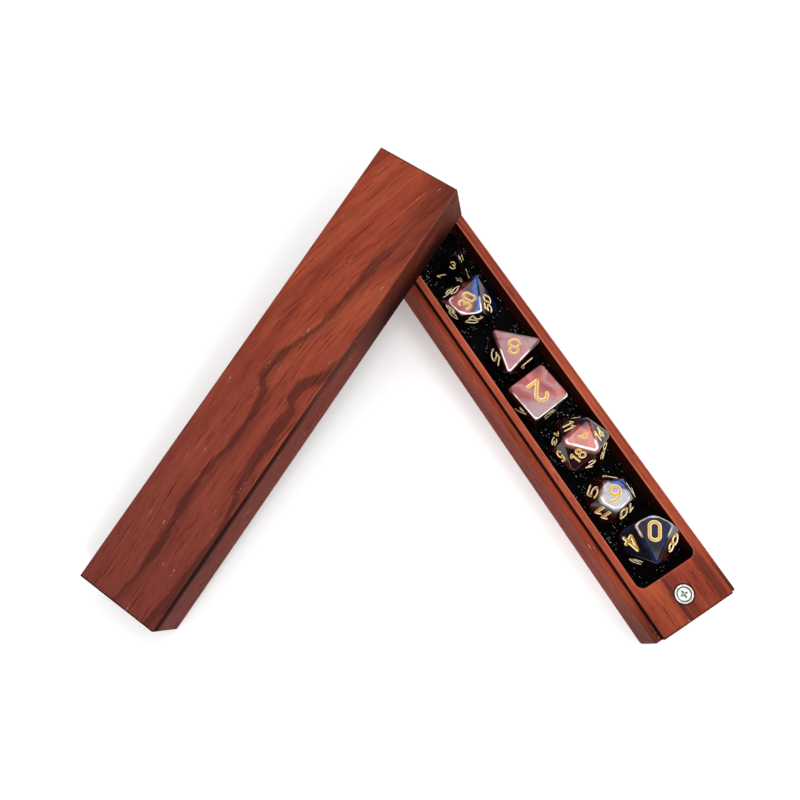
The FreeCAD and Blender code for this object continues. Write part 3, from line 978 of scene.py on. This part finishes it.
DICE = {
    "die_d4": dict(
        SHARED, corners=four_corners, bottom=(-1, -1, -1), size=16.5, ease=1.3,
        place=(64.3, -2.6), turn=207.5, height=3.5, wide=1.0, stroke=0.7, deep=0.32, out=4.6,
        warm=(0.0, 0.0, -0.05), shift=(0, 0, 0), pearl=0.0, night=0.85, edge_glint=0.0,
        labels=[("312", 0), ("314", 0), ("324", 0), ("142", 0)]),
    "die_d6": dict(
        SHARED, corners=cube_corners, bottom=(0, 0, -1), size=16.0,
        place=(-0.75, 2.3), turn=5.7, height=7.5, wide=1.05, stroke=1.4,
        warm=(0.004, 0.006, 0.105), shift=(11, 3, 0), pearl=0.9, night=0.3,
        sheen_veil=(0.7, 1.0, 5.0), edge_glint=1.0,
        labels=[("2", 133), ("4", 45), ("1", 281), ("3", 333), ("6", 45), ("5", 45)]),
    "die_d8": dict(
        SHARED, corners=eight_corners, bottom=(1, 1, 1), size=15.0,
        place=(19.27, -0.3), turn=270.3, height=5.7, wide=1.3, stroke=1.05,
        warm=(0.0, 0.0, 0.08), shift=(3, 37, 0), pearl=0.85, night=0.35,
        sheen_veil=(0.45, -6, -2), sheen_cloud="a08286", edge_glint=1.0,
        labels=[("8", 126), ("5", 2), ("1", 16), ("3", 0), ("6", 0), ("4", 0), ("2", 0), ("7", 0)]),
    "die_d10": dict(
        SHARED, corners=ten_corners, bottom=(1 + RING_RISE, 0, 1), size=16.0,
        place=(-68.0, -1.13), turn=327.5, height=6.4, wide=1.05, stroke=1.3,
        warm=(0.0, 0.0, -0.12), shift=(5, 8, 40), pearl=0.12, night=0.4, edge_glint=0.5, glint_side=-1,
        labels=[("0", 108), ("4", 359), ("8", 13), ("6", 32), ("2", None), ("3", None),
                ("7", None), ("1", None), ("5", None), ("9", None)]),
    "die_d10_tens": dict(
        SHARED, corners=ten_corners, bottom=(1 + RING_RISE, 0, 1), size=16.0,
        place=(46.07, 2.5), turn=127.6, height=4.6, wide=1.0, stroke=0.95, spin=90,
        warm=(0.020, 0.031, -0.13), shift=(60, 8, 4), pearl=0.9, night=0.5, edge_glint=0.9,
        labels=[("30", 330), ("90", 170), ("50", 313), ("10", None), ("70", None),
                ("80", None), ("20", None), ("40", None), ("00", None), ("60", None)]),
    "die_d12": dict(
        SHARED, corners=twelve_corners, bottom=(0, GOLDEN, 1), size=16.0,
        place=(-47.35, 1.2), turn=26.6, height=5.7, wide=1.15, pair=0.8, stroke=1.15,
        warm=(0.01, 0.015, -0.05), shift=(6, 18, 54), pearl=0.85, night=0.45,
        sheen_veil=(0.85, -4.0, -0.5), sheen_cloud="bcbabb", edge_glint=0.85,
        labels=[("9", 318), ("5", 200), ("11", 203), ("10", 137), ("7", 184), ("1", 251),
                ("3", 0), ("6", 0), ("12", 0), ("8", 0), ("2", 0), ("4", 0)]),
    "die_d20": dict(
        SHARED, corners=twenty_corners, bottom=(-1, -1, -1), size=19.5,
        place=(-24.33, -0.4), turn=245.2, height=3.8, wide=1.15, pair=0.98, stroke=0.86,
        warm=(0.0, 0.0, 0.16), shift=(26, 38, 14), pearl=0.95, night=0.4,
        sheen_veil=(0.5, -5, -2), sheen_cloud="c97c74", edge_glint=0.95,
        labels=[("4", 0), ("11", 121), ("18", 3), ("14", 1), ("13", 359), ("5", 240), ("2", 0),
                ("20", 0), ("6", 0), ("9", 120), ("1", 0), ("15", 0), ("12", 0), ("8", 0),
                ("16", 0), ("19", 0), ("7", 0), ("10", 0), ("3", 0), ("17", 0)]),
}


def make_die(name, facts, finishes):
    """Forms a die, engraves it and lays it on the felt."""
    corners = stand(facts["corners"](), facts["bottom"], facts["size"], facts["turn"])
    die = mesh_object(name + "_body", die_body(corners, facts["ease"]), finishes)
    engrave(die, cutters(name, facts, flat_sides(corners), finishes))
    soften(die, CRISP_ANGLE)
    die.data.transform(Matrix.Scale(MM, 4))
    die.matrix_world = Matrix.Translation(Vector((*facts["place"], FELT_TOP)) * MM)
    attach(die, name)
    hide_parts(name)


# ---------------------------------------------------------------- dice: finish

# Pours of resin, from cold to warm: deep in a die, and pearly at its top, where their lighter colour is
# partly painted light.
DARK_POURS = [(0.30, "0a2260"), (0.38, "050818"), (0.46, "020103"), (0.53, "14040a"),
              (0.61, "3c0a12"), (0.68, "0a0306")]
PEARLY_POURS = [(0.34, "0a1a44"), (0.41, "1c5ab2"), (0.46, "0c1840"), (0.50, "200e18"),
                (0.54, "86282e"), (0.59, "a4504c"), (0.62, "82747a"), (0.66, "9c4a48"),
                (0.74, "842428")]
NIGHT = "030205"
POUR_LINE = "6a161c"
# Painted glint on a die's upper edges.
PAINTED_EDGE_GLINT = "fbf2ef"
STIR = 24.0              # how far stirring moves the resin
ASIDE = (-0.84, 0.54)    # the way in X and Y along which a die's painted sheen and painted edge glints change


def swirl_group():
    """Pearly pigment stirred into dark resin: its colour, how pearly it is and its faint waves.

    Warm runs from blue, through black, to pink. Pearl Top Light makes the top side pearly
    and light: the pearl is real, its keeping to the top side is painted light. Sheen Veil is
    how much painted sheen of Sheen Colour lies over it, Edge Glint the painted glints on
    its edges, Night how black the rest is.
    """
    m, given, result = group(
        "stirred resin",
        {"Place": "Vector", "Sheen Colour": "Color", **floats("Warm", "Pearl Top Light", "Edge Glint", "Sheen Veil", "Night")},
        {"Color": "Color", **floats("Pearl", "Height")})
    stirred = stir(m, given["Place"])
    deep = m.plus(m.noise(stirred, 0.065, detail=2.0, bend=0.3), m.times(given["Warm"], 0.5))
    dark = m.mix(given["Night"], m.ramp(deep, DARK_POURS), NIGHT)
    flow = m.plus(m.noise(stirred, 0.055, detail=2.0, rough=0.45, bend=0.3), given["Warm"])
    # The painted sheen lies over the pearly pours as a veil.
    light = m.cover(m.ramp(flow, PEARLY_POURS), [(m.times(pour_lines(m, flow), 0.55), POUR_LINE),
                                                 (given["Sheen Veil"], given["Sheen Colour"])])
    streaks = m.noise(m.stretch(stirred, (1, 1, 1), (30, 10, 5)), 0.22, detail=2.0, rough=0.6)
    pearl = m.times(m.fade(given["Pearl Top Light"], 0.0, 1.0, 0.08, 0.65), m.fade(streaks, 0.3, 0.7, 1.0, 0.5))
    # Painted glints on the edges go over the rest and take the pearl away there.
    m.give(result, {"Color": m.cover(dark, [(given["Pearl Top Light"], light), (given["Edge Glint"], PAINTED_EDGE_GLINT)]),
                    "Pearl": m.times(pearl, m.minus(1.0, given["Edge Glint"])),
                    "Height": m.noise(given["Place"], 0.40, detail=2.0, bend=0.6)})
    return m.tree


def stir(m, place):
    """Place that the resin had before it was stirred."""
    eddies = m.noise(place, 0.06, detail=1.5, out=1)
    eddies = m.vectors("SUBTRACT", {0: eddies, 1: (0.5, 0.5, 0.5)})
    return m.vectors("ADD", {0: place, 1: m.vectors("MULTIPLY", {0: eddies, 1: (STIR, STIR, STIR)})})


def pour_lines(m, flow):
    """Thin lines where two pours of resin met."""
    return m.fade(m.math("PINGPONG", flow, 0.028), 0.0015, 0.006, 1.0, 0.0)


def top_side_group():
    """What differs near a die's top side: its pearly, lighter colour, partly painted light, its painted
    sheen and the painted glints on its edges.

    Sheen Veil From and Sheen Veil To are how far aside of the die's middle the painted
    sheen begins and is whole, and Glint Side is 1 or -1 for the side on which the edges carry painted
    glints.
    """
    m, given, result = group(
        "top side of a die",
        {"Own": "Vector",
         **floats("Size", "Pearl", "Sheen Strength", "Sheen Veil From", "Sheen Veil To", "Glint Strength", "Glint Side")},
        floats("Pearl Top Light", "Sheen Veil", "Edge Glint"))
    own = given["Own"]
    x, y, z = m.split(own)
    below = m.minus(given["Size"], z)
    aside = m.plus(m.times(x, ASIDE[0]), m.times(y, ASIDE[1]))
    # Cloudy wander of where the painted sheen begins.
    sheen_cloud = m.fade(m.noise(own, 0.16, detail=2.0, bend=0.5), 0.3, 0.7, -2.5, 2.5)
    sheen_veil = m.fade(m.plus(aside, sheen_cloud), given["Sheen Veil From"], given["Sheen Veil To"], 0.0, given["Sheen Strength"])
    # Painted glints along the upper edges, on one side of the die only.
    edge = m.times(m.fade(below, 0.32, 0.44, given["Glint Strength"], 0.0), m.fade(below, 0.006, 0.035),
                   m.fade(m.times(aside, given["Glint Side"]), 0.0, 1.8),
                   m.fade(m.noise(own, 0.3, detail=1.0), 0.3, 0.5, 0.6, 1.0))
    # The top side's pearl is real; its keeping to the top side is painted light.
    m.give(result, {"Pearl Top Light": m.fade(below, 0.5, 1.5, given["Pearl"], 0.0), "Sheen Veil": sheen_veil, "Edge Glint": edge})
    return m.tree


def resin_material(name, swirl, top_side, facts):
    """Polished resin with pearly pigment stirred in."""
    material, m, shader = new_material(name)
    own = piece_place(m)
    x, y, z = m.split(own)
    east, north, level = facts["warm"]
    sheen_veil, start, stop = facts["sheen_veil"]
    # The top side gives the painted sheen, the painted edge glints and the pearly top, which is partly
    # painted light.
    top = m.use(top_side, {
        "Own": own, "Size": facts["size"], "Pearl": facts["pearl"], "Sheen Strength": sheen_veil,
        "Sheen Veil From": start, "Sheen Veil To": stop, "Glint Strength": facts["edge_glint"], "Glint Side": facts["glint_side"]})
    out = m.use(swirl, {
        "Place": m.stretch(own, (1, 1, 1), facts["shift"]), "Sheen Colour": facts["sheen_cloud"],
        "Warm": m.plus(m.times(x, east), m.times(y, north), level), "Night": facts["night"],
        "Pearl Top Light": top["Pearl Top Light"], "Edge Glint": top["Edge Glint"], "Sheen Veil": top["Sheen Veil"]})
    m.give(shader, {"Base Color": out["Color"], "Metallic": out["Pearl"],
                    "Roughness": m.fade(out["Pearl"], 0.0, 0.5, 0.18, 0.34),
                    "Normal": m.bump(out["Height"], 0.10, 0.4),
                    "Specular IOR Level": 0.3, "Coat Weight": 0.55, "Coat Roughness": 0.05})
    return material


def paint_group():
    """Metallic paint with fine grains: its colour, the grains' height and its roughness."""
    m, given, result = group("grained paint", {"Place": "Vector", "Light": "Color", "Dark": "Color"},
                             {"Color": "Color", **floats("Height", "Roughness")})
    grains = m.noise(given["Place"], 6.0, detail=4.0, rough=0.6)
    m.give(result, {"Color": m.mix(m.fade(grains, 0.3, 0.7), given["Light"], given["Dark"]),
                    "Height": grains, "Roughness": m.fade(grains, 0.3, 0.7, 0.30, 0.45)})
    return m.tree


def paint_material(name, paint, light, dark, metallic):
    """Gold paint in the engraved numerals: full gold on the groove's floor, and a paler copy on its
    walls as a painted highlight.
    """
    material, m, shader = new_material(name)
    out = m.use(paint, {"Place": piece_place(m), "Light": light, "Dark": dark})
    m.give(shader, {"Base Color": out["Color"], "Roughness": out["Roughness"],
                    "Normal": m.bump(out["Height"], 0.25, 0.06), "Metallic": metallic})
    return material


# ---------------------------------------------------------------- felt pieces

ROUND_STEPS = 8
# Section of the felt's rolled upper edge: way in from the edge and way down from the top.
FELT_ROLL = [(0, FELT_THICKNESS), (0, 0.45), (0.08, 0.2), (0.25, 0.06), (0.6, 0.0)]


def rounded_loop(mesh, length, width, radius, z):
    """Points round a rectangle with rounded corners."""
    loop = []
    for cx, cy, start in ((1, 1, 0), (-1, 1, 90), (-1, -1, 180), (1, -1, 270)):
        for i in range(ROUND_STEPS + 1):
            a = math.radians(start + 90 * i / ROUND_STEPS)
            x = cx * (length / 2 - radius) + radius * math.cos(a)
            y = cy * (width / 2 - radius) + radius * math.sin(a)
            loop.append(mesh.verts.new(Vector((x, y, z))))
    return loop


def felt_lining(name, low, materials):
    """Felt cut to the pocket, its upper edge a little rolled."""
    length = POCKET_LENGTH - 2 * FELT_EDGE_GAP
    width = POCKET_WIDTH - 2 * FELT_EDGE_GAP
    radius = POCKET_CORNER - FELT_EDGE_GAP
    mesh = bmesh.new()
    loops = []
    for inset, drop in FELT_ROLL:
        loops.append(rounded_loop(mesh, length - 2 * inset, width - 2 * inset, radius - inset,
                                  low + FELT_THICKNESS - drop))
    for a, b in zip(loops, loops[1:]):
        bridge(mesh, a, b)
    mesh.faces.new(loops[0][::-1])
    mesh.faces.new(loops[-1])
    return mesh_object(name, mesh, materials)


def lay_felts(lid_place):
    """Felt in the tray's pocket, and upside down on the roof of the lid's cavity."""
    felt = felt_material()
    tray_felt = felt_lining("tray_lining", FELT_TOP - FELT_THICKNESS, [felt])
    tray_felt.data.transform(Matrix.Scale(MM, 4))
    lid_felt = felt_lining("lid_lining", 0, [felt])
    upside_down = Matrix.Translation((0, 0, CAVITY_ROOF)) @ Matrix.Rotation(math.pi, 4, "X")
    lid_felt.data.transform(Matrix.Scale(MM, 4) @ upside_down)
    lid_felt.matrix_world = lid_place
    for piece, body in ((tray_felt, "tray"), (lid_felt, "lid")):
        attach(piece, body)
        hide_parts(body + "_felt")


# ---------------------------------------------------------------- wood and metal pieces

def lid_placing():
    """Where the open lid lies, as a matrix from its standing place, in metres.

    Its far magnet lies near the tray's, and it leans until a corner is on the table.
    """
    turn = Matrix.Rotation(math.radians(180 - LID_TURN), 4, "Z")
    far = Vector((MAGNET_X, 0, TONGUE_TOP)) + LID_SLIP
    level = Matrix.Translation(far - turn @ Vector((-MAGNET_X, 0, 0))) @ turn
    corner = level @ Vector((BOX_LENGTH / 2, -BOX_WIDTH / 2, 0))
    lean = math.asin(TONGUE_TOP / (corner.y - TONGUE_WIDTH / 2))
    pivot = Vector((0, TONGUE_WIDTH / 2, TONGUE_TOP))
    tip = Matrix.Translation(pivot) @ Matrix.Rotation(-lean, 4, "X") @ Matrix.Translation(-pivot)
    place = tip @ level
    place.translation *= MM
    return place


def dress(name, material):
    """Gives the whole of a node one material."""
    data = frame["nodes"][name].data
    data.materials.clear()
    data.materials.append(material)
    for face in data.polygons:
        face.material_index = 0


def dress_blocks(lid_place):
    wood = wood_group()
    dress("lid_block", lid_material(wood, lid_place))
    dress("tray_block", tray_material(wood))


def dress_fastenings(lid_place):
    metal = metal_group()
    for body, standing in (("tray", None), ("lid", lid_place)):
        nickel = metal_material(body + " nickel plate", metal, "dcdad4", "b4b0a8", 0.20, standing)
        steel = metal_material(body + " screw steel", metal, "f0f2f0", "c0c4c4", 0.22, standing)
        for end in ("near", "far"):
            dress(body + "_" + end + "_magnet", nickel)
            dress(body + "_" + end + "_screw", steel)


def make_dice():
    paint = paint_group()
    gold = paint_material("gold paint", paint, "c08a2a", "dcae4c", 0.4)
    # Paler copy of the gold for the groove walls, a painted highlight.
    highlight_gold = paint_material("gold paint with painted highlight", paint, "f4e2ac", "fff2cc", 0.1)
    swirl = swirl_group()
    top_side = top_side_group()
    for name, facts in DICE.items():
        resin = resin_material(name + " resin", swirl, top_side, facts)
        make_die(name, facts, [resin, gold, highlight_gold])


# ---------------------------------------------------------------- room and camera

# Name: place, point aimed at and size in metres, power in watts, and whether it shows in gloss.
SOFTBOXES = {
    "overhead softbox": ((0.12, -0.19, 0.62), (0.05, 0.02, 0.0), (0.33, 0.22), 0.8, True),
    "magnet softbox": ((-0.163, -0.183, 0.62), (-0.09, 0.0, 0.02), (0.11, 0.16), 0.11, True),
    "side softbox": ((-0.32, 0.12, 0.42), (0.0, 0.0, 0.02), (0.15, 0.15), 1.1, False),
}
# Brightness of the room at the horizon, overhead and as the backdrop, and what gloss takes off it.
HORIZON = 0.25
OVERHEAD = 1.13
BACKDROP = 0.93
GLOSS_DIMMING = 0.82

FLOOR_HALF = 3.0       # in metres
FLOOR_DROP = 0.0002    # in metres, so that the wood doesn't share a plane with it

# The camera's view is VIEW pixels square. Its focal length and the pixel that its axis
# meets are in pixels too; the rest is in millimetres.
VIEW = 800
FOCAL = 770.16
AXIS_X = 422.698
AXIS_Y = 441.43
SENSOR = 36
CAMERA_PLACE = Vector((-57.62, 85.426, 302.653))
CAMERA_AXES = Matrix(((-0.53496, 0.813979, -0.226398),
                      (-0.844786, -0.51929, 0.129133),
                      (-0.012454, 0.260339, 0.965437)))


def add_softbox(name, place, aim, size, power, in_gloss):
    lamp = bpy.data.lights.new(name, "AREA")
    lamp.shape = "RECTANGLE"
    lamp.size, lamp.size_y = size
    lamp.energy = power
    box = bpy.data.objects.new(name, lamp)
    box.location = place
    box.rotation_euler = (Vector(aim) - Vector(place)).to_track_quat("-Z", "Y").to_euler()
    box.visible_glossy = in_gloss
    bpy.context.scene.collection.objects.link(box)


def add_floor():
    mesh = bmesh.new()
    corners = [(x * FLOOR_HALF, y * FLOOR_HALF, -FLOOR_DROP)
               for x, y in ((-1, -1), (1, -1), (1, 1), (-1, 1))]
    mesh.faces.new([mesh.verts.new(corner) for corner in corners])
    material, m, shader = new_material("pale floor")
    clouds = m.noise(m.add("ShaderNodeTexCoord", out=3), 3.0, detail=2.0)
    m.give(shader, {"Base Color": m.mix(m.fade(clouds, 0.3, 0.7), "fafafa", "ffffff"),
                    "Roughness": 0.9, "Specular IOR Level": 0.1})
    mesh_object("floor", mesh, [material])


def add_light():
    """Even white room, brightest overhead and dimmer in gloss, and the softboxes."""
    world = bpy.data.worlds.new("studio")
    world.use_nodes = True
    m = Maker(world.node_tree)
    height = m.split(m.add("ShaderNodeTexCoord", out=0))[2]
    rays = m.add("ShaderNodeLightPath").node.outputs
    dim = m.minus(1.0, m.times(rays["Is Glossy Ray"], GLOSS_DIMMING))
    room = m.times(m.fade(height, 0.0, 0.9, HORIZON, OVERHEAD), dim)
    strength = m.most(room, m.times(rays["Is Camera Ray"], BACKDROP))
    m.give(world.node_tree.nodes["Background"], {"Color": (1, 1, 1, 1), "Strength": strength})
    bpy.context.scene.world = world
    for name, facts in SOFTBOXES.items():
        add_softbox(name, *facts)
    bpy.context.scene.view_settings.view_transform = "Standard"


def add_camera():
    data = bpy.data.cameras.new("camera")
    data.sensor_width = SENSOR
    data.lens = SENSOR * FOCAL / VIEW
    data.shift_x = (VIEW / 2 - AXIS_X) / VIEW
    data.shift_y = (AXIS_Y - VIEW / 2) / VIEW
    data.clip_start = 0.01
    camera = bpy.data.objects.new("camera", data)
    camera.matrix_world = Matrix.Translation(CAMERA_PLACE * MM) @ CAMERA_AXES.to_4x4()
    bpy.context.scene.collection.objects.link(camera)
    bpy.context.scene.camera = camera


# ---------------------------------------------------------------- the whole


def main():
    lid_place = lid_placing()
    add_camera()
    add_light()
    add_floor()
    dress_blocks(lid_place)
    dress_fastenings(lid_place)
    lay_felts(lid_place)
    make_dice()


main()
